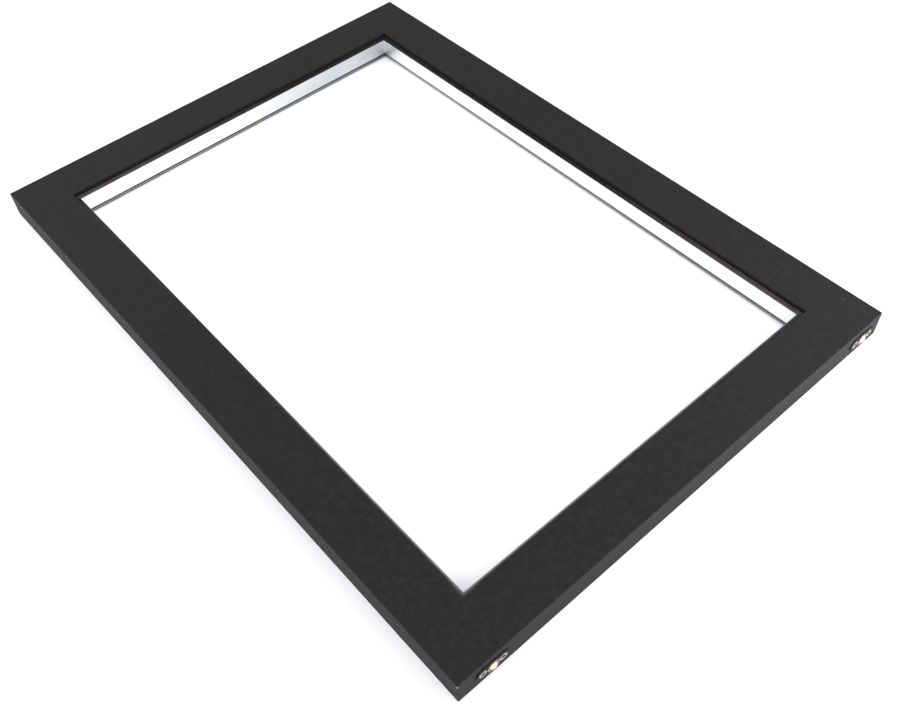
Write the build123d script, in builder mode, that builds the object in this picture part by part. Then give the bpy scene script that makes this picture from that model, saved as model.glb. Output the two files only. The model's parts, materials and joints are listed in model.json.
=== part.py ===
from build123d import *
import os
from math import sqrt

# Floating exhibition frame: a flat black frame with a bright metal lining round a clear opening.
# It lies on its back. X runs across the width, Y along the length, +Z up out of the front face.
# The foot edge faces -Y and carries two sprung ball catches. The origin is the centre of the overall
# length and width, at the level of the back. All sizes are in millimetres.

# ---- Overall size and layers ----
WIDTH = 610.0
LENGTH = 840.0
REAR_T = 6.0                                # rear panel and retainer strips
CORE_T = 22.0                               # core rails and stiles
FRONT_T = 6.0                               # front panel
THICKNESS = REAR_T + CORE_T + FRONT_T
FRONT_Z = REAR_T + CORE_T                   # level where the front panel starts
MID_Z = THICKNESS / 2

# ---- Insets from the outer edge, measured towards the opening ----
FACE_W = 57.0                               # width of the black face
LEDGE_W = 6.0                               # step between the face and the lining
SIGHT_INSET = FACE_W + LEDGE_W              # the lining's bright face
LINING_T = 2.0
CORE_W = SIGHT_INSET - LINING_T             # width of the core rails
CORNER_R = 1.2                              # upright outer corners
OUTER_ARRIS_R = 0.9                         # softened outer edges, front and back
INNER_ARRIS_R = 0.5                         # softened edge round the front opening

# ---- Lip strip: black trim that caps the core and the lining ----
LIP_T = 1.0
LIP_W = 10.0
LIP_ARRIS_R = 0.35
LIP_OUTER_INSET = SIGHT_INSET - LIP_W

# ---- Retainer strip: metal bar that closes the sheet slot from behind ----
RETAINER_W = 12.0
RETAINER_OUTER_INSET = SIGHT_INSET - RETAINER_W
SLOT_H = 1.4                                # height of the slot for a thin sheet
SLOT_DEPTH = 4.0
RETAINER_CHAMFER = 1.8

# ---- Joints and screws ----
DOWEL_R = 4.0
DOWEL_LENGTH = 40.0
DOWEL_CHAMFER = 1.0
DOWEL_INSETS = (15.0, 46.0)                 # from the long outer edge
FIT_GAP = 0.1                               # clearance round dowels, screws and barrels
HEAD_RECESS = 0.3                           # rear screw heads sit this far below the back
PANEL_SCREW_INSET = 25.0
PANEL_SCREW_SPAN = (330.0, 150.0)           # outermost screws from the middle, long and short sides
PANEL_SCREW_COUNT = (5, 3)
PANEL_HEAD_R = 3.5
PANEL_SHANK_R = 1.75
PANEL_SCREW_LENGTH = 22.0
RETAINER_SCREW_INSET = 55.0
RETAINER_SCREW_SPAN = (335.0, 215.0)
RETAINER_SCREW_COUNT = (5, 4)
RETAINER_HEAD_R = 3.0
RETAINER_SHANK_R = 1.5
RETAINER_SCREW_LENGTH = 18.0
SCREW_TIP = 4.0                             # length of the pointed end
COUNTERSINK_ANGLE = 90
DRILL_SPARE = 1.0                           # blind holes run this far past the screw or barrel
CROSS_LENGTH_RATIO = 1.2                    # cross recess, over the head's radius
CROSS_WIDTH_RATIO = 0.3
CROSS_MIDDLE_RATIO = 0.4
CROSS_DEPTH_RATIO = 0.42
CROSS_TAPER = 8

# ---- Ball catches on the foot edge ----
CATCH_INSET = {"left": 40.0, "right": 32.0}     # from the nearest upright corner
PLATE_LENGTH = 40.0
PLATE_HEIGHT = 16.0
PLATE_T = 1.2
PLATE_ARRIS_R = 0.35
CATCH_SCREW_SPACING = 24.0
CATCH_HEAD_R = 4.5
CATCH_SHANK_R = 2.0
CATCH_SCREW_LENGTH = 24.0
BALL_R = 5.5
BALL_PLAY = 0.15                            # clearance round the ball, and below the barrel's mouth
MOUTH_R = 5.0
BORE_R = BALL_R + BALL_PLAY
BARREL_R = 6.5
BARREL_DEPTH = 18.0                         # below the foot edge
BARREL_BASE_T = 1.0
RIM_R = 7.3
RIM_T = 0.6
MOUTH_T = 0.8                               # thickness of the lip that keeps the ball in
RIM_TOP = PLATE_T + RIM_T
BALL_CENTRE = RIM_TOP - MOUTH_T - sqrt(BALL_R**2 - MOUTH_R**2) - BALL_PLAY
BALL_PROUD = BALL_CENTRE + BALL_R           # how far the ball stands out of the foot edge
SPRING_R = 4.3
SPRING_WIRE_R = 0.45
SPRING_TURNS = 6
SPRING_END_GAP = 0.1

# ---- Places ----
# The balls stand out past the foot edge, so the frame's own middle is half that distance off the origin.
CENTRE = Vector(0, BALL_PROUD / 2, 0)
FOOT_Y = CENTRE.Y - LENGTH / 2
UP = Vector(0, 0, 1)
# Each side: direction into the opening, length of the outer edge, distance from the centre.
SIDES = {
    "foot": (Vector(0, 1, 0), WIDTH, LENGTH / 2),
    "head": (Vector(0, -1, 0), WIDTH, LENGTH / 2),
    "left": (Vector(1, 0, 0), LENGTH, WIDTH / 2),
    "right": (Vector(-1, 0, 0), LENGTH, WIDTH / 2),
}


def section_plane(side):
    """Cross-section at the middle of a side: local x is the inset, local y the height above the back."""
    inward, _, reach = SIDES[side]
    return Plane(origin=CENTRE - inward * reach, x_dir=inward, z_dir=inward.cross(UP))


def plan_plane(side, height=0.0):
    """Plan view of a side: local x is the inset, local y runs along the outer edge."""
    inward, _, reach = SIDES[side]
    return Plane(origin=CENTRE - inward * reach + UP * height, x_dir=inward, z_dir=UP)


def catch_plane(hand):
    """Plane of the foot edge at a catch: local x is world X, local y is up, local z points outwards."""
    x = WIDTH / 2 - CATCH_INSET[hand]
    return Plane(origin=(-x if hand == "left" else x, FOOT_Y, MID_Z), x_dir=(1, 0, 0), z_dir=(0, -1, 0))


def catch_screw_planes(hand, height):
    """Planes of a catch's two screw heads, at a height above the foot edge."""
    middle = catch_plane(hand)
    half = CATCH_SCREW_SPACING / 2
    return [Plane(origin=middle.from_local_coords((x, 0, height)), z_dir=(0, -1, 0)) for x in (-half, half)]


def rear_planes(inset, spans, counts, height):
    """Downward-facing planes of the rear screws, spread evenly along all four sides."""
    planes = []
    for side, (inward, _, reach) in SIDES.items():
        long_side = side in ("left", "right")
        span = spans[0] if long_side else spans[1]
        count = counts[0] if long_side else counts[1]
        along = inward.cross(UP)
        for step in range(count):
            offset = -span + 2 * span * step / (count - 1)
            spot = CENTRE - inward * (reach - inset) + along * offset + UP * height
            planes.append(Plane(origin=spot, z_dir=(0, 0, -1)))
    return planes


def dowel_planes():
    """Planes across the four corner joints, one for each dowel, facing along Y."""
    joint_y = LENGTH / 2 - CORE_W
    planes = []
    for x_sign in (-1, 1):
        for y_sign in (-1, 1):
            for inset in DOWEL_INSETS:
                spot = CENTRE + Vector(x_sign * (WIDTH / 2 - inset), y_sign * joint_y, MID_Z)
                planes.append(Plane(origin=spot, z_dir=(0, 1, 0)))
    return planes


def save(piece, node):
    """Label a finished piece and write it as its own file."""
    piece.part.label = node
    export_step(piece.part, f"parts/{node}.step")


def ring_panel(bottom, height, opening_inset):
    """Flat one-piece panel with the frame's outline and a rectangular opening."""
    with BuildPart() as panel:
        with BuildSketch(Plane(origin=CENTRE + UP * bottom)):
            RectangleRounded(WIDTH, LENGTH, CORNER_R)
            Rectangle(WIDTH - 2 * opening_inset, LENGTH - 2 * opening_inset, mode=Mode.SUBTRACT)
        extrude(amount=height)
    return panel


def front_panel():
    """Black face of the frame, with softened outer and inner edges."""
    with BuildPart() as panel:
        add(ring_panel(FRONT_Z, FRONT_T, FACE_W).part)
        face = panel.faces().sort_by(Axis.Z)[-1]
        fillet(face.outer_wire().edges(), radius=OUTER_ARRIS_R)
        face = panel.faces().sort_by(Axis.Z)[-1]
        fillet(face.inner_wires()[0].edges(), radius=INNER_ARRIS_R)
    return panel


def rear_panel():
    """Back board of the frame, drilled and countersunk for its screws."""
    with BuildPart() as panel:
        add(ring_panel(0, REAR_T, RETAINER_OUTER_INSET).part)
        back = panel.faces().sort_by(Axis.Z)[0]
        fillet(back.outer_wire().edges(), radius=OUTER_ARRIS_R)
        with Locations(*rear_planes(PANEL_SCREW_INSET, PANEL_SCREW_SPAN, PANEL_SCREW_COUNT, 0)):
            CounterSinkHole(
                radius=PANEL_SHANK_R + FIT_GAP,
                counter_sink_radius=PANEL_HEAD_R + HEAD_RECESS + FIT_GAP,
                depth=REAR_T,
                counter_sink_angle=COUNTERSINK_ANGLE,
            )
    return panel


def drill_core():
    """Drill a core bar for every dowel and rear screw that reaches it."""
    with Locations(*dowel_planes()):
        Cylinder(DOWEL_R + FIT_GAP, DOWEL_LENGTH + 2 * FIT_GAP, mode=Mode.SUBTRACT)
    with Locations(*rear_planes(PANEL_SCREW_INSET, PANEL_SCREW_SPAN, PANEL_SCREW_COUNT, REAR_T)):
        Hole(radius=PANEL_SHANK_R + FIT_GAP, depth=PANEL_SCREW_LENGTH - REAR_T + DRILL_SPARE)
    with Locations(*rear_planes(RETAINER_SCREW_INSET, RETAINER_SCREW_SPAN, RETAINER_SCREW_COUNT, REAR_T)):
        Hole(radius=RETAINER_SHANK_R + FIT_GAP, depth=RETAINER_SCREW_LENGTH - REAR_T + DRILL_SPARE)


def core_rail(side):
    """Head or foot rail: runs the full width, between the two panels."""
    with BuildPart() as rail:
        with BuildSketch(Plane(origin=CENTRE + UP * REAR_T)):
            RectangleRounded(WIDTH, LENGTH, CORNER_R)
        extrude(amount=CORE_T)
        with BuildSketch(plan_plane(side)):
            Rectangle(CORE_W, WIDTH, align=(Align.MIN, Align.CENTER))
        extrude(amount=THICKNESS, mode=Mode.INTERSECT)
        with BuildSketch(plan_plane(side, FRONT_Z)):
            with Locations((LIP_OUTER_INSET, 0)):
                Rectangle(LIP_W, WIDTH - 2 * LIP_OUTER_INSET, align=(Align.MIN, Align.CENTER))
        extrude(amount=-LIP_T, mode=Mode.SUBTRACT)
        drill_core()
    return rail


def foot_rail():
    """Foot rail, bored for the catch barrels and drilled for the catch screws."""
    with BuildPart() as rail:
        add(core_rail("foot").part)
        for hand in CATCH_INSET:
            with Locations(catch_plane(hand)):
                Hole(radius=BARREL_R + FIT_GAP, depth=BARREL_DEPTH + DRILL_SPARE)
            # The heads' cones pass through the plate and end in the rail.
            with Locations(*catch_screw_planes(hand, PLATE_T)):
                CounterSinkHole(
                    radius=CATCH_SHANK_R + FIT_GAP,
                    counter_sink_radius=CATCH_HEAD_R + FIT_GAP,
                    depth=CATCH_SCREW_LENGTH + DRILL_SPARE,
                    counter_sink_angle=COUNTERSINK_ANGLE,
                )
    return rail


def core_stile(side):
    """Left or right stile: stands between the head and foot rails."""
    with BuildPart() as stile:
        with BuildSketch(section_plane(side)):
            with Locations((0, REAR_T)):
                Rectangle(CORE_W, CORE_T, align=(Align.MIN, Align.MIN))
            with Locations((LIP_OUTER_INSET, FRONT_Z)):
                Rectangle(LIP_W, LIP_T, align=(Align.MIN, Align.MAX), mode=Mode.SUBTRACT)
        extrude(amount=LENGTH / 2 - CORE_W, both=True)
        drill_core()
    return stile


def mitred_strip(side, profile):
    """Strip with the given cross-section along one side, its ends cut at 45 degrees."""
    edge = SIDES[side][1]
    reach = 2 * SIGHT_INSET
    with BuildPart() as strip:
        with BuildSketch(section_plane(side)):
            Polygon(*profile, align=None)
        extrude(amount=edge / 2, both=True)
        with BuildSketch(plan_plane(side)):
            Polygon(
                (0, -edge / 2), (reach, reach - edge / 2), (reach, edge / 2 - reach), (0, edge / 2),
                align=None,
            )
        extrude(amount=THICKNESS, mode=Mode.INTERSECT)
    return strip


def lip_strip(side):
    """Black trim on the ledge, with a softened edge above the lining."""
    bottom = FRONT_Z - LIP_T
    with BuildPart() as strip:
        add(mitred_strip(side, [
            (LIP_OUTER_INSET, bottom),
            (SIGHT_INSET, bottom),
            (SIGHT_INSET, FRONT_Z),
            (LIP_OUTER_INSET, FRONT_Z),
        ]).part)
        inward = SIDES[side][0]
        along = Axis((0, 0, 0), inward.cross(UP))
        edges = strip.edges().filter_by(along).group_by(Axis.Z)[-1]
        fillet(edges.sort_by(Axis((0, 0, 0), inward))[-1], radius=LIP_ARRIS_R)
    return strip


def lining_strip(side):
    """Bright lining on the inner edge of the core."""
    return mitred_strip(side, [
        (CORE_W, REAR_T),
        (SIGHT_INSET, REAR_T),
        (SIGHT_INSET, FRONT_Z - LIP_T),
        (CORE_W, FRONT_Z - LIP_T),
    ])


def retainer_strip(side):
    """Rear bar that closes the sheet slot, chamfered towards the opening and countersunk for its screws."""
    slot_floor = REAR_T - SLOT_H
    slot_back = SIGHT_INSET - SLOT_DEPTH
    with BuildPart() as strip:
        add(mitred_strip(side, [
            (RETAINER_OUTER_INSET, 0),
            (SIGHT_INSET - RETAINER_CHAMFER, 0),
            (SIGHT_INSET, RETAINER_CHAMFER),
            (SIGHT_INSET, slot_floor),
            (slot_back, slot_floor),
            (slot_back, REAR_T),
            (RETAINER_OUTER_INSET, REAR_T),
        ]).part)
        with Locations(*rear_planes(RETAINER_SCREW_INSET, RETAINER_SCREW_SPAN, RETAINER_SCREW_COUNT, 0)):
            CounterSinkHole(
                radius=RETAINER_SHANK_R + FIT_GAP,
                counter_sink_radius=RETAINER_HEAD_R + HEAD_RECESS + FIT_GAP,
                depth=REAR_T,
                counter_sink_angle=COUNTERSINK_ANGLE,
            )
    return strip


def screw_group(planes, head_r, shank_r, length):
    """Countersunk screws with a cross recess, one on each plane; +Z of a plane leaves the head."""
    head_h = head_r - shank_r
    with BuildPart() as screw:
        with BuildSketch(Plane.XZ):
            Polygon(
                (0, 0), (head_r, 0), (shank_r, -head_h), (shank_r, SCREW_TIP - length), (0, -length),
                align=None,
            )
        revolve(axis=Axis.Z)
        with BuildSketch(Plane.XY):
            Rectangle(head_r * CROSS_LENGTH_RATIO, head_r * CROSS_WIDTH_RATIO)
            Rectangle(head_r * CROSS_WIDTH_RATIO, head_r * CROSS_LENGTH_RATIO)
            Circle(head_r * CROSS_MIDDLE_RATIO)
        extrude(amount=-head_r * CROSS_DEPTH_RATIO, taper=CROSS_TAPER, mode=Mode.SUBTRACT)
    with BuildPart() as group:
        with Locations(*planes):
            add(screw.part)
    return group


def corner_dowels():
    """Beech dowels across the corner joints."""
    with BuildPart() as dowels:
        with Locations(*dowel_planes()):
            Cylinder(DOWEL_R, DOWEL_LENGTH)
        chamfer(dowels.edges().filter_by(GeomType.CIRCLE), length=DOWEL_CHAMFER)
    return dowels


def catch_plate(hand):
    """Black steel plate of a ball catch, with a hole for the barrel and two countersunk screw holes."""
    with BuildPart() as plate:
        with BuildSketch(catch_plane(hand)):
            SlotOverall(PLATE_LENGTH, PLATE_HEIGHT)
        extrude(amount=PLATE_T)
        fillet(plate.faces().sort_by(Axis.Y)[0].outer_wire().edges(), radius=PLATE_ARRIS_R)
        with Locations(catch_plane(hand).offset(PLATE_T)):
            Hole(radius=BARREL_R + FIT_GAP, depth=PLATE_T)
        with Locations(*catch_screw_planes(hand, PLATE_T)):
            CounterSinkHole(
                radius=CATCH_SHANK_R + FIT_GAP,
                counter_sink_radius=CATCH_HEAD_R + FIT_GAP,
                depth=PLATE_T,
                counter_sink_angle=COUNTERSINK_ANGLE,
            )
    return plate


def catch_barrel(hand):
    """Brass cup that holds the spring and the ball; its rolled rim lies on the plate."""
    with BuildPart() as barrel:
        with BuildSketch(Plane.XZ):
            Polygon(
                (0, -BARREL_DEPTH),
                (BARREL_R, -BARREL_DEPTH),
                (BARREL_R, PLATE_T),
                (RIM_R, PLATE_T),
                (RIM_R, RIM_TOP),
                (MOUTH_R, RIM_TOP),
                (MOUTH_R, RIM_TOP - MOUTH_T),
                (BORE_R, RIM_TOP - MOUTH_T),
                (BORE_R, BARREL_BASE_T - BARREL_DEPTH),
                (0, BARREL_BASE_T - BARREL_DEPTH),
                align=None,
            )
        revolve(axis=Axis.Z)
        rim = barrel.edges().filter_by(GeomType.CIRCLE).group_by(Axis.Z)[-1]
        fillet(rim.sort_by(SortBy.LENGTH)[-1], radius=RIM_T / 2)
    with BuildPart() as placed:
        with Locations(catch_plane(hand)):
            add(barrel.part)
    return placed


def catch_ball(hand):
    """Brass ball, resting against the barrel's mouth."""
    with BuildPart() as ball:
        with Locations(catch_plane(hand).offset(BALL_CENTRE)):
            Sphere(BALL_R)
    return ball


def catch_spring(hand):
    """Coil spring between the barrel's base and the ball."""
    floor = BARREL_BASE_T - BARREL_DEPTH + SPRING_WIRE_R + SPRING_END_GAP
    # The wire touches the ball where the two circles meet in section.
    reach = sqrt((BALL_R + SPRING_WIRE_R) ** 2 - SPRING_R**2)
    height = BALL_CENTRE - reach - SPRING_END_GAP - floor
    with BuildPart() as spring:
        with BuildLine() as coil:
            Helix(
                pitch=height / SPRING_TURNS,
                height=height,
                radius=SPRING_R,
                center=catch_plane(hand).from_local_coords((0, 0, floor)),
                direction=(0, -1, 0),
            )
        with BuildSketch(Plane(origin=coil.line @ 0, z_dir=coil.line % 0)):
            Circle(SPRING_WIRE_R)
        sweep(path=coil.line, is_frenet=True)
    return spring


os.makedirs("parts", exist_ok=True)

save(front_panel(), "front_panel")
save(rear_panel(), "rear_panel")
save(foot_rail(), "foot_rail")
save(core_rail("head"), "head_rail")
save(core_stile("left"), "left_stile")
save(core_stile("right"), "right_stile")
save(corner_dowels(), "corner_dowels")

for name in SIDES:
    save(lip_strip(name), f"lip_strip_{name}")
    save(lining_strip(name), f"lining_strip_{name}")
    save(retainer_strip(name), f"retainer_strip_{name}")

panel_heads = rear_planes(PANEL_SCREW_INSET, PANEL_SCREW_SPAN, PANEL_SCREW_COUNT, HEAD_RECESS)
save(screw_group(panel_heads, PANEL_HEAD_R, PANEL_SHANK_R, PANEL_SCREW_LENGTH), "rear_panel_screws")
retainer_heads = rear_planes(RETAINER_SCREW_INSET, RETAINER_SCREW_SPAN, RETAINER_SCREW_COUNT, HEAD_RECESS)
save(
    screw_group(retainer_heads, RETAINER_HEAD_R, RETAINER_SHANK_R, RETAINER_SCREW_LENGTH),
    "retainer_screws",
)

for name in CATCH_INSET:
    save(catch_plate(name), f"catch_plate_{name}")
    save(catch_barrel(name), f"catch_barrel_{name}")
    save(catch_ball(name), f"catch_ball_{name}")
    save(catch_spring(name), f"catch_spring_{name}")
catch_heads = catch_screw_planes("left", PLATE_T) + catch_screw_planes("right", PLATE_T)
save(screw_group(catch_heads, CATCH_HEAD_R, CATCH_SHANK_R, CATCH_SCREW_LENGTH), "catch_screws")
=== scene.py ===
import json
import math

import bmesh
import bpy
from mathutils import Matrix, Vector


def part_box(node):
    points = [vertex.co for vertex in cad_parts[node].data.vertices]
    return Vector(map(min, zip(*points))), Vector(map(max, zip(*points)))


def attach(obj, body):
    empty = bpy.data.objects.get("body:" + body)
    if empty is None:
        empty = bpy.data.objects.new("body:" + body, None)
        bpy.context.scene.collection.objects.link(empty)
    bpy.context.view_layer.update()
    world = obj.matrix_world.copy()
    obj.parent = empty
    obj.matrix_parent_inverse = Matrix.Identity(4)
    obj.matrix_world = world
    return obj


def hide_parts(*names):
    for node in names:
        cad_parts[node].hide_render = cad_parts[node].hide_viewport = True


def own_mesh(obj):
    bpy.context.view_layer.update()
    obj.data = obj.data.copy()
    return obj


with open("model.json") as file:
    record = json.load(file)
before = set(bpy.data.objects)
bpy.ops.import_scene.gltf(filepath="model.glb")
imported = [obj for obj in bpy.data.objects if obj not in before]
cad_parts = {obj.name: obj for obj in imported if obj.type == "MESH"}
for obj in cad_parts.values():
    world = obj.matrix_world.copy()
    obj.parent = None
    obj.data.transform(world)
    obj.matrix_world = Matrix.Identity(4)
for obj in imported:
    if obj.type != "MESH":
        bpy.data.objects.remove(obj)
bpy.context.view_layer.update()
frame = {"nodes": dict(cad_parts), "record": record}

MM = 0.001
HANDS = ("left", "right")
NODES = frame["nodes"]

# ---------------------------------------------------------------- sizes, all in metres
FACE_LOW, FACE_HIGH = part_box("front_panel")
LIP_LOW, LIP_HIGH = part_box("lip_strip_foot")
WIDTH = FACE_HIGH.x - FACE_LOW.x
LENGTH = FACE_HIGH.y - FACE_LOW.y
FACE_Z = FACE_HIGH.z
MID_Z = FACE_Z / 2                              # height of the catches and of the middle of the linings
MIDDLE = Vector(((FACE_LOW.x + FACE_HIGH.x) / 2, (FACE_LOW.y + FACE_HIGH.y) / 2, 0))

LIP_COVERED = 4 * MM                            # part of the lip strip that lies under the face
FACE_W = LIP_LOW.y - FACE_LOW.y + LIP_COVERED   # width of the black face
SIGHT_INSET = LIP_HIGH.y - FACE_LOW.y           # from the outer wall to the linings' bright face
SLOT_H = 1.4 * MM
SLOT_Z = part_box("lining_strip_foot")[0].z - SLOT_H / 2
SEAM_HALF = 0.95 * MM                           # the painted shade reaches this far from the slot's middle
FOOT_SHADE_TOP = 3.0 * MM                        # and covers the strips' lowest edge up to here
SEAM_EVERYWHERE = 10.0                          # far past the whole frame
NO_REACH = 1 * MM                               # too short to show

CATCH_SCREW_SPACING = 24 * MM
SPRING_WIRE_R = 0.45 * MM
SPRING_TURNS = 6
SPRING_STEPS = 28                               # points in one turn
SPRING_CLOSED_PITCH = 2.1 * SPRING_WIRE_R       # the end turns lie against their neighbours

# bright spots in the paint, with their radii: a chip on the near corner and a speck on the face by the
# right corner
PAINT_CHIPS = (
    ((FACE_LOW.x, FACE_LOW.y, FACE_Z - 2 * MM), 1.0 * MM),
    ((FACE_HIGH.x - 14.4 * MM, FACE_LOW.y + 39.7 * MM, FACE_Z), 0.3 * MM),
)

# ---------------------------------------------------------------- view and studio
LENS = 40.448                                   # millimetres
CAMERA_PLACE = (-0.8115, -1.1029, 1.3613)       # from the middle of the face, in widths of the frame
HEADING, TILT, ROLL = 51.28, -50.91, -3.263     # degrees

FLOOR_HALF = 7.0
FLOOR_Z = -0.2 * MM
ROOM_LIGHT = 1.8
ROOM_DARK = 0.25
DARK_DIRECTION = (0.40, 0.49, 0.775)            # the room's dark side, up behind the head of the frame
DARK_STARTS, DARK_FULL = 0.68, 0.95             # cosines of the angle from it


# ---------------------------------------------------------------- camera, floor and light
def link(obj):
    bpy.context.scene.collection.objects.link(obj)
    return obj


def make_camera():
    data = bpy.data.cameras.new("view_camera")
    data.sensor_width = 36.0
    data.lens = LENS
    data.clip_start = 0.05
    data.clip_end = 50.0
    camera = link(bpy.data.objects.new("view_camera", data))
    across, along, up = CAMERA_PLACE
    place = MIDDLE + Vector((across * WIDTH, along * WIDTH, FACE_Z + up * WIDTH))
    heading, tilt, roll = math.radians(HEADING), math.radians(TILT), math.radians(ROLL)
    forward = Vector((math.cos(heading) * math.cos(tilt), math.sin(heading) * math.cos(tilt), math.sin(tilt)))
    turn = forward.to_track_quat("-Z", "Y").to_matrix().to_4x4() @ Matrix.Rotation(roll, 4, "Z")
    camera.matrix_world = Matrix.Translation(place) @ turn
    bpy.context.scene.camera = camera


def area_light(name, place, target, size, power, color):
    """Square light at a place, turned towards a target."""
    data = bpy.data.lights.new(name, "AREA")
    data.shape = "RECTANGLE"
    data.size = size
    data.size_y = size
    data.energy = power
    data.color = color
    obj = link(bpy.data.objects.new(name, data))
    obj.visible_camera = False
    obj.location = place
    obj.rotation_euler = (Vector(target) - Vector(place)).to_track_quat("-Z", "Y").to_euler()


def make_floor():
    mesh = bpy.data.meshes.new("studio_floor")
    corners = [(-1, -1), (1, -1), (1, 1), (-1, 1)]
    mesh.from_pydata([(x * FLOOR_HALF, y * FLOOR_HALF, FLOOR_Z) for x, y in corners], [], [(0, 1, 2, 3)])
    floor = link(bpy.data.objects.new("studio_floor", mesh))
    paper = bpy.data.materials.new("floor_paper")
    paper.use_nodes = True
    shader = paper.node_tree.nodes["Principled BSDF"]
    shader.inputs["Base Color"].default_value = (0.9, 0.9, 0.91, 1)
    shader.inputs["Roughness"].default_value = 0.9
    shader.inputs["Specular IOR Level"].default_value = 0.2
    mesh.materials.append(paper)


def make_room():
    """A soft white room with one dark side."""
    world = bpy.data.worlds.new("studio_world")
    bpy.context.scene.world = world
    world.use_nodes = True
    tree = world.node_tree
    sky = tree.nodes["Background"]
    sky.inputs["Color"].default_value = (0.98, 0.99, 1, 1)
    towards_dark = tree.nodes.new("ShaderNodeVectorMath")
    towards_dark.operation = "DOT_PRODUCT"
    tree.links.new(tree.nodes.new("ShaderNodeTexCoord").outputs["Generated"], towards_dark.inputs[0])
    towards_dark.inputs[1].default_value = DARK_DIRECTION
    strength = tree.nodes.new("ShaderNodeMapRange")
    strength.interpolation_type = "SMOOTHSTEP"
    strength.inputs["From Min"].default_value = DARK_STARTS
    strength.inputs["From Max"].default_value = DARK_FULL
    strength.inputs["To Min"].default_value = ROOM_LIGHT
    strength.inputs["To Max"].default_value = ROOM_DARK
    tree.links.new(towards_dark.outputs["Value"], strength.inputs["Value"])
    tree.links.new(strength.outputs["Result"], sky.inputs["Strength"])


def make_studio():
    make_floor()
    make_room()
    area_light("right", (0.62, -0.82, 0.34), (0.2, -0.35, 0), 0.4, 5.4, (1, 0.99, 0.98))
    area_light("left", (-0.8, 0.8, 0.5), (-0.1, 0.2, 0), 0.5, 2.2, (0.97, 0.985, 1))
    bpy.context.scene.view_settings.view_transform = "Standard"


# ---------------------------------------------------------------- node helper
class Nodes:
    """Small helper for building a material's node tree."""

    def __init__(self, name):
        self.material = bpy.data.materials.new(name)
        self.material.use_nodes = True
        self.tree = self.material.node_tree
        self.shader = self.tree.nodes["Principled BSDF"]
        self.place = self.add("ShaderNodeTexCoord").outputs["Object"]

    def add(self, kind, **settings):
        node = self.tree.nodes.new(kind)
        for key, value in settings.items():
            setattr(node, key, value)
        return node

    def put(self, node, socket, value):
        """Link another node's output into a socket, or set a plain value on it."""
        if isinstance(value, bpy.types.NodeSocket):
            self.tree.links.new(value, node.inputs[socket])
        else:
            node.inputs[socket].default_value = value

    def math(self, operation, a, b=None):
        node = self.add("ShaderNodeMath", operation=operation)
        self.put(node, 0, a)
        if b is not None:
            self.put(node, 1, b)
        return node.outputs[0]

    def plus(self, a, b):
        return self.math("ADD", a, b)

    def minus(self, a, b):
        return self.math("SUBTRACT", a, b)

    def times(self, a, b):
        return self.math("MULTIPLY", a, b)

    def least(self, a, b):
        return self.math("MINIMUM", a, b)

    def most(self, a, b):
        return self.math("MAXIMUM", a, b)

    def coordinates(self):
        """The place on the object as separate x, y and z."""
        node = self.add("ShaderNodeSeparateXYZ")
        self.put(node, 0, self.place)
        return node.outputs[0], node.outputs[1], node.outputs[2]

    def distance(self, spot):
        """Distance in metres from a place on the object."""
        node = self.add("ShaderNodeVectorMath", operation="DISTANCE")
        self.put(node, 0, self.place)
        node.inputs[1].default_value = spot
        return node.outputs["Value"]

    def scaled(self, scale):
        node = self.add("ShaderNodeVectorMath", operation="MULTIPLY")
        self.put(node, 0, self.place)
        node.inputs[1].default_value = scale
        return node.outputs[0]

    def noise(self, scale, detail=2.0, roughness=0.5, vector=None, distortion=0.0):
        node = self.add("ShaderNodeTexNoise")
        self.put(node, "Vector", vector or self.place)
        node.inputs["Scale"].default_value = scale
        node.inputs["Detail"].default_value = detail
        node.inputs["Roughness"].default_value = roughness
        node.inputs["Distortion"].default_value = distortion
        return node.outputs["Fac"]

    def span(self, value, low, high, to_low=0.0, to_high=1.0, smooth=False):
        """Map low..high to to_low..to_high, held at both ends."""
        node = self.add("ShaderNodeMapRange", clamp=True)
        if smooth:
            node.interpolation_type = "SMOOTHSTEP"
        for socket, number in (("Value", value), ("From Min", low), ("From Max", high),
                               ("To Min", to_low), ("To Max", to_high)):
            self.put(node, socket, number)
        return node.outputs["Result"]

    def mix(self, factor, a, b):
        node = self.add("ShaderNodeMix", data_type="RGBA")
        self.put(node, 0, factor)
        for index, value in ((6, a), (7, b)):       # the two colour sockets of this node
            self.put(node, index, (*value, 1) if isinstance(value, tuple) else value)
        return node.outputs[2]

    def ramp(self, factor, *stops):
        node = self.add("ShaderNodeValToRGB")
        self.put(node, 0, factor)
        band = node.color_ramp
        while len(band.elements) < len(stops):
            band.elements.new(0.5)
        for element, (position, color) in zip(band.elements, stops):
            element.position = position
            element.color = (*color, 1)
        return node.outputs["Color"]

    def bump(self, height, distance, strength, normal=None):
        node = self.add("ShaderNodeBump")
        self.put(node, "Height", height)
        node.inputs["Distance"].default_value = distance
        node.inputs["Strength"].default_value = strength
        if normal is not None:
            self.put(node, "Normal", normal)
        return node.outputs["Normal"]

    def finish(self, **sockets):
        """Fill the shader's sockets and hand back the material."""
        for socket, value in sockets.items():
            self.put(self.shader, socket.replace("_", " "), value)
        return self.material


def edge_distances(n):
    """Distances in metres from the nearest side wall, the nearest end wall and the front face."""
    x, y, z = n.coordinates()
    across = n.math("ABSOLUTE", n.minus(x, MIDDLE.x))
    along = n.math("ABSOLUTE", n.minus(y, MIDDLE.y))
    return n.minus(WIDTH / 2, across), n.minus(LENGTH / 2, along), n.minus(FACE_Z, z)


def inner_corner(x_sign, y_sign, z=FACE_Z):
    """Corner of the opening, at the level of the face unless a height is given."""
    half_x, half_y = WIDTH / 2 - SIGHT_INSET, LENGTH / 2 - SIGHT_INSET
    return (MIDDLE.x + x_sign * half_x, MIDDLE.y + y_sign * half_y, z)


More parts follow.
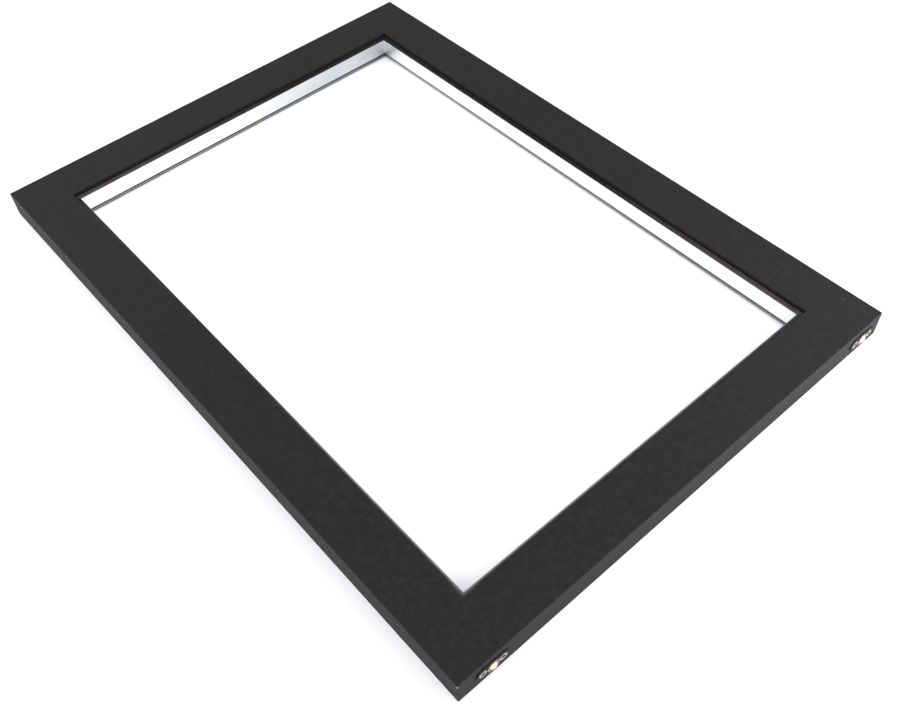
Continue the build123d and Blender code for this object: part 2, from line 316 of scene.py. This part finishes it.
# ---------------------------------------------------------------- paint, trim and wood
def wear_paint(n, color, grain, edge):
    """Rub the softened outer edges a little thinner, and chip them through here and there."""
    thin_paint = (0.075, 0.07, 0.064)
    bare_board = (0.33, 0.29, 0.24)
    pale_spot = (0.6, 0.58, 0.55)
    rubbed = n.times(n.span(edge, 1.1 * MM, 0.2 * MM), n.span(grain, 0.4, 0.62))
    color = n.mix(n.times(rubbed, 0.55), color, thin_paint)
    chips = n.times(n.span(edge, 1.6 * MM, 0.6 * MM), n.span(n.noise(160.0, 2.0), 0.77, 0.79))
    color = n.mix(chips, color, bare_board)
    for spot, radius in PAINT_CHIPS:
        away = n.plus(n.distance(spot), n.times(grain, 0.8 * MM))
        color = n.mix(n.span(away, radius + 0.5 * MM, radius + 0.3 * MM), color, pale_spot)
    return color


def black_paint():
    """Rolled matt black paint, mottled and a little warm in broad patches."""
    deep, middle, pale = (0.0065, 0.0062, 0.0058), (0.0108, 0.0102, 0.0095), (0.0175, 0.0166, 0.0155)
    warm = (0.0135, 0.0119, 0.0108)
    # painted shade for the wall round the opening and the crease above the lip
    crease_shade = (0.003, 0.0027, 0.0026)
    n = Nodes("black_paint")
    broad = n.noise(7.0, 3.0)
    mottle = n.noise(190.0, 4.0, 0.6, distortion=0.4)
    grain = n.noise(620.0, 3.0, 0.65)
    speck = n.noise(1500.0, 1.0)
    tone = n.plus(n.times(mottle, 0.6), n.times(grain, 0.4))
    color = n.ramp(tone, (0.38, deep), (0.5, middle), (0.64, pale))
    color = n.mix(n.span(broad, 0.4, 0.65, 0, 0.4), color, warm)

    dx, dy, dz = edge_distances(n)
    wall = n.least(dx, dy)
    color = wear_paint(n, color, grain, n.most(wall, dz))

    # the narrow wall round the opening is made rougher, and painted darker as shade, darkest in the crease
    # above the lip
    inset = n.minus(wall, FACE_W - 0.6 * MM)
    inner_wall_shade_and_matt = n.times(n.span(inset, 0, 0.4 * MM), n.span(dz, 0.2 * MM, 4.5 * MM, 0.25, 1))
    color = n.mix(inner_wall_shade_and_matt, color, crease_shade)

    rough = n.span(n.plus(mottle, grain), 0.7, 1.3, 0.6, 0.75)
    rough = n.plus(rough, n.times(inner_wall_shade_and_matt, 0.25))
    relief = n.bump(grain, 0.16 * MM, 0.9)
    relief = n.bump(mottle, 0.3 * MM, 0.6, relief)
    relief = n.bump(speck, 0.04 * MM, 0.5, relief)
    return n.finish(Base_Color=color, Roughness=rough, Normal=relief, Specular_IOR_Level=0.19)


def lip_trim(name, lit_spot, lit_reach, highlight_reach):
    """Black trim, painted lighter brown-grey round one spot as painted light on the ledge, with a painted
    highlight along its inner edge there.
    """
    black, brown = (0.012, 0.0102, 0.0098), (0.022, 0.0185, 0.018)
    painted_light_grey = (0.068, 0.058, 0.055)
    painted_edge_highlight = (0.18, 0.162, 0.155)
    n = Nodes(name)
    patches = n.noise(140.0, 3.0)
    fine = n.noise(900.0, 2.0)
    color = n.ramp(patches, (0.35, black), (0.65, brown))
    # painted light: a lighter brown-grey patch on the ledge round one spot
    away = n.distance(lit_spot)
    wear_and_lit_patch = n.times(n.span(away, lit_reach, lit_reach * 0.3), n.span(patches, 0.3, 0.6, 0.65, 1))
    color = n.mix(wear_and_lit_patch, color, painted_light_grey)
    dx, dy, _ = edge_distances(n)
    # painted highlight: a pale line along the trim's inner edge
    from_opening = n.minus(SIGHT_INSET, n.least(dx, dy))
    edge_highlight = n.times(n.span(from_opening, 2.2 * MM, 1.5 * MM), n.span(away, highlight_reach, highlight_reach * 0.5))
    color = n.mix(n.times(edge_highlight, n.span(patches, 0.25, 0.5, 0.6, 1)), color, painted_edge_highlight)
    return n.finish(Base_Color=color, Roughness=n.span(fine, 0.3, 0.7, 0.36, 0.5),
                    Normal=n.bump(fine, 0.03 * MM, 0.6), Specular_IOR_Level=0.4)


def catch_black():
    black, grey = (0.009, 0.0086, 0.0081), (0.018, 0.017, 0.016)
    n = Nodes("catch_black")
    fine = n.noise(1100.0, 2.0)
    wear_and_lit_patch = n.noise(260.0, 3.0)
    color = n.ramp(wear_and_lit_patch, (0.45, black), (0.75, grey))
    return n.finish(Base_Color=color, Roughness=n.span(fine, 0.3, 0.7, 0.58, 0.7),
                    Normal=n.bump(fine, 0.03 * MM, 0.7), Specular_IOR_Level=0.17)


def beech():
    dark_ring, pale_ring, pore = (0.42, 0.26, 0.14), (0.66, 0.46, 0.28), (0.3, 0.17, 0.09)
    n = Nodes("beech")
    rings = n.noise(1.0, 3.0, 0.6, vector=n.scaled((260.0, 30.0, 260.0)), distortion=0.6)
    pores = n.noise(1.0, 2.0, 0.5, vector=n.scaled((1500.0, 130.0, 1500.0)))
    color = n.ramp(rings, (0.3, dark_ring), (0.7, pale_ring))
    color = n.mix(n.span(pores, 0.62, 0.72, 0, 0.6), color, pore)
    return n.finish(Base_Color=color, Roughness=n.span(rings, 0.3, 0.7, 0.55, 0.7),
                    Normal=n.bump(pores, 0.05 * MM, 0.5))


# ---------------------------------------------------------------- metals
def strip_metal(name, bright, dull, seam_shade_tone, seam_reach, rough_range, streak, shaded_at_corner=False):
    """Drawn aluminium: fine lines along the strip, soft blotches, and painted shade along the sheet slot.

    The painted shade at the slot and along the lowest edge is darkest at the right end of the foot, and fades
    out over seam_reach from there. When asked, a strip gets painted grey shade towards the right end of the
    head, standing in for a darker reflection.
    """
    painted_shade_grey = (0.51, 0.545, 0.56)
    n = Nodes(name)
    lines = n.noise(1.0, 3.0, 0.6, vector=n.scaled((18.0, 18.0, 2600.0)))
    cross = n.noise(1.0, 2.0, 0.5, vector=n.scaled((260.0, 260.0, 14.0)))
    blotch = n.noise(28.0, 3.0)
    tone = n.plus(n.times(lines, 0.5), n.times(cross, 0.5))
    color = n.mix(n.span(tone, 0.35, 0.65), dull, bright)

    from_corner = n.distance(inner_corner(1, 1, MID_Z))
    # painted shade: greys the head strip towards its right end, standing in for the darker reflection of the
    # shaded floor by its foot
    if shaded_at_corner:
        near = n.span(from_corner, 330 * MM, 80 * MM, smooth=True)
        color = n.mix(n.times(near, n.span(blotch, 0.3, 0.7, 0.8, 1.0)), color, painted_shade_grey)

    # painted reflection: upright grey streaks in that corner of the opening, standing in for each strip's
    # blurred reflection of its neighbour
    near = n.span(from_corner, 32 * MM, 14 * MM, smooth=True)
    reflection_streaks = n.noise(1.0, 2.0, 0.6, vector=n.scaled((190.0, 190.0, 12.0)))
    corner_reflection_grey = tuple(0.66 * value for value in dull)
    color = n.mix(n.times(near, n.span(reflection_streaks, 0.4, 0.62, 0.12, 0.62)), color, corner_reflection_grey)

    # painted shade: darkens the strips beside the sheet slot and along their lowest edge, as the shadow in
    # the gap and at the floor
    height = n.coordinates()[2]
    from_seam = n.math("ABSOLUTE", n.minus(height, SLOT_Z))
    slot_and_foot_shade = n.most(n.span(from_seam, SEAM_HALF + 0.3 * MM, SEAM_HALF),
                  n.span(height, FOOT_SHADE_TOP, FOOT_SHADE_TOP - 0.4 * MM))
    shade_fade = n.span(n.distance(inner_corner(1, -1)), seam_reach, seam_reach * 0.2)
    color = n.mix(n.times(slot_and_foot_shade, shade_fade), color, seam_shade_tone)

    rough = n.span(n.plus(blotch, n.times(lines, 0.5)), 0.5, 1.0, *rough_range)
    relief = n.bump(lines, 0.02 * MM, streak)
    relief = n.bump(cross, 0.12 * MM, streak * 0.5, relief)
    return n.finish(Base_Color=color, Roughness=rough, Metallic=1.0, Normal=relief)


def lining_metal(name, seam_reach, shaded_at_corner=False):
    return strip_metal(name, (0.94, 0.945, 0.95), (0.85, 0.86, 0.87), (0.09, 0.09, 0.095), seam_reach,
                       (0.3, 0.45), 0.5, shaded_at_corner)


def retainer_metal(name, seam_reach):
    return strip_metal(name, (0.4, 0.395, 0.41), (0.27, 0.265, 0.28), (0.05, 0.05, 0.053), seam_reach,
                       (0.4, 0.55), 0.6)


def small_metal(name, bright, dull, rough_range, shaded_middle=()):
    """Turned metal of a small piece, with painted shade in the recesses round the axes that stand at the x
    places listed.
    """
    n = Nodes(name)
    turned = n.noise(700.0, 3.0, 0.6)
    color = n.ramp(turned, (0.35, dull), (0.6, bright))
    if shaded_middle:
        # painted shade: near black in a ragged circle round each screw axis, where the recess lies in shade
        color = n.mix(recess_shade_mask(n, turned, shaded_middle), color, (0.012, 0.012, 0.012))
    return n.finish(Base_Color=color, Roughness=n.span(turned, 0.3, 0.7, *rough_range), Metallic=1.0,
                    Normal=n.bump(n.noise(1600.0, 2.0), 0.02 * MM, 0.6))


def recess_shade_mask(n, turned, places):
    """1 inside a ragged circle round each axis along y, and 0 outside."""
    x, _, z = n.coordinates()
    up = n.minus(z, MID_Z)
    radius = None
    for place in places:
        across = n.minus(x, place)
        away = n.math("SQRT", n.plus(n.times(across, across), n.times(up, up)))
        radius = away if radius is None else n.least(radius, away)
    return n.span(n.plus(radius, n.times(turned, 0.6 * MM)), 3.0 * MM, 2.6 * MM)


def catch_screw_places():
    """World x of the axes of the four screws beside the catches."""
    places = []
    for hand in HANDS:
        low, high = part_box(f"catch_plate_{hand}")
        for side in (-1, 1):
            places.append((low.x + high.x) / 2 + side * CATCH_SCREW_SPACING / 2)
    return places


def make_materials():
    """Materials by the name of a CAD node, or by the record's material slot."""
    near_corner, right_corner, left_corner = inner_corner(-1, -1), inner_corner(1, -1), inner_corner(-1, 1)
    ball_brass = small_metal("ball_brass", (0.86, 0.77, 0.63), (0.66, 0.54, 0.38), (0.3, 0.46))
    return {
        "black_paint": black_paint(),
        "beech": beech(),
        "lip_strip_foot": lip_trim("lip_foot", near_corner, 0.02, 0.55),
        "lip_strip_left": lip_trim("lip_left", near_corner, 0.02, 0.35),
        "lip_strip_right": lip_trim("lip_right", right_corner, 0.3, NO_REACH),
        "lip_strip_head": lip_trim("lip_head", left_corner, 0.32, NO_REACH),
        "lining_metal": lining_metal("lining_metal", SEAM_EVERYWHERE),
        "lining_strip_right": lining_metal("lining_right", 0.6),
        "lining_strip_head": lining_metal("lining_head", SEAM_EVERYWHERE, shaded_at_corner=True),
        "retainer_metal": retainer_metal("retainer_metal", SEAM_EVERYWHERE),
        "retainer_strip_right": retainer_metal("retainer_right", 0.6),
        "black_screw": small_metal("black_screw", (0.05, 0.05, 0.05), (0.025, 0.025, 0.025), (0.34, 0.5)),
        "zinc_screw": small_metal("zinc_screw", (0.78, 0.78, 0.77), (0.55, 0.55, 0.54), (0.19, 0.35)),
        "catch_black": catch_black(),
        "catch_screws": small_metal("catch_screw", (0.55, 0.55, 0.545), (0.33, 0.33, 0.325), (0.2, 0.36),
                                    shaded_middle=catch_screw_places()),
        "catch_brass": small_metal("catch_bronze", (0.34, 0.25, 0.15), (0.19, 0.13, 0.07), (0.3, 0.46)),
        "catch_ball_left": ball_brass,
        "catch_ball_right": ball_brass,
        "spring_steel": small_metal("spring_steel", (0.6, 0.6, 0.6), (0.42, 0.42, 0.42), (0.24, 0.4)),
    }


# ---------------------------------------------------------------- springs
def wire_line(name, points):
    """Round wire along a line of points, as a closed mesh."""
    curve = bpy.data.curves.new(f"{name}_line", "CURVE")
    curve.dimensions = "3D"
    curve.bevel_depth = SPRING_WIRE_R
    curve.bevel_resolution = 3
    line = curve.splines.new("POLY")
    line.points.add(len(points) - 1)
    for point, place in zip(line.points, points):
        point.co = (*place, 1)
    wire = bpy.data.objects.new(f"{name}_wire", curve)
    mesh = bpy.data.meshes.new_from_object(wire)
    bpy.data.objects.remove(wire)
    cap_ends(mesh)
    mesh.shade_smooth()
    return mesh


def cap_ends(mesh):
    """Close the open ends of a tube."""
    work = bmesh.new()
    work.from_mesh(mesh)
    bmesh.ops.holes_fill(work, edges=[edge for edge in work.edges if edge.is_boundary])
    bmesh.ops.recalc_face_normals(work, faces=work.faces)
    work.to_mesh(mesh)
    work.free()


def make_spring(hand, material):
    """Coil spring with closed end coils, between the barrel's base and the ball."""
    low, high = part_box(f"catch_spring_{hand}")
    radius = (high.x - low.x) / 2 - SPRING_WIRE_R
    start, end = high.y - SPRING_WIRE_R, low.y + SPRING_WIRE_R
    open_pitch = (start - end - 2 * SPRING_CLOSED_PITCH) / (SPRING_TURNS - 2)
    points = []
    for step in range(SPRING_TURNS * SPRING_STEPS + 1):
        turn = step / SPRING_STEPS
        open_turns = min(max(turn - 1, 0), SPRING_TURNS - 2)
        climb = SPRING_CLOSED_PITCH * (turn - open_turns) + open_pitch * open_turns
        angle = 2 * math.pi * turn
        points.append(((low.x + high.x) / 2 + radius * math.cos(angle), start - climb,
                       MID_Z + radius * math.sin(angle)))
    mesh = wire_line(f"spring_{hand}", points)
    mesh.materials.append(material)
    spring = link(bpy.data.objects.new(f"spring_{hand}", mesh))
    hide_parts(f"catch_spring_{hand}")
    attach(spring, "frame")
    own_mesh(spring)


make_camera()
make_studio()
materials = make_materials()
for hand in HANDS:
    make_spring(hand, materials["spring_steel"])
for row in frame["record"]["subparts"]:
    mesh = NODES[row["node"]].data
    mesh.materials.clear()
    mesh.materials.append(materials.get(row["node"]) or materials[row["material_slot"]])
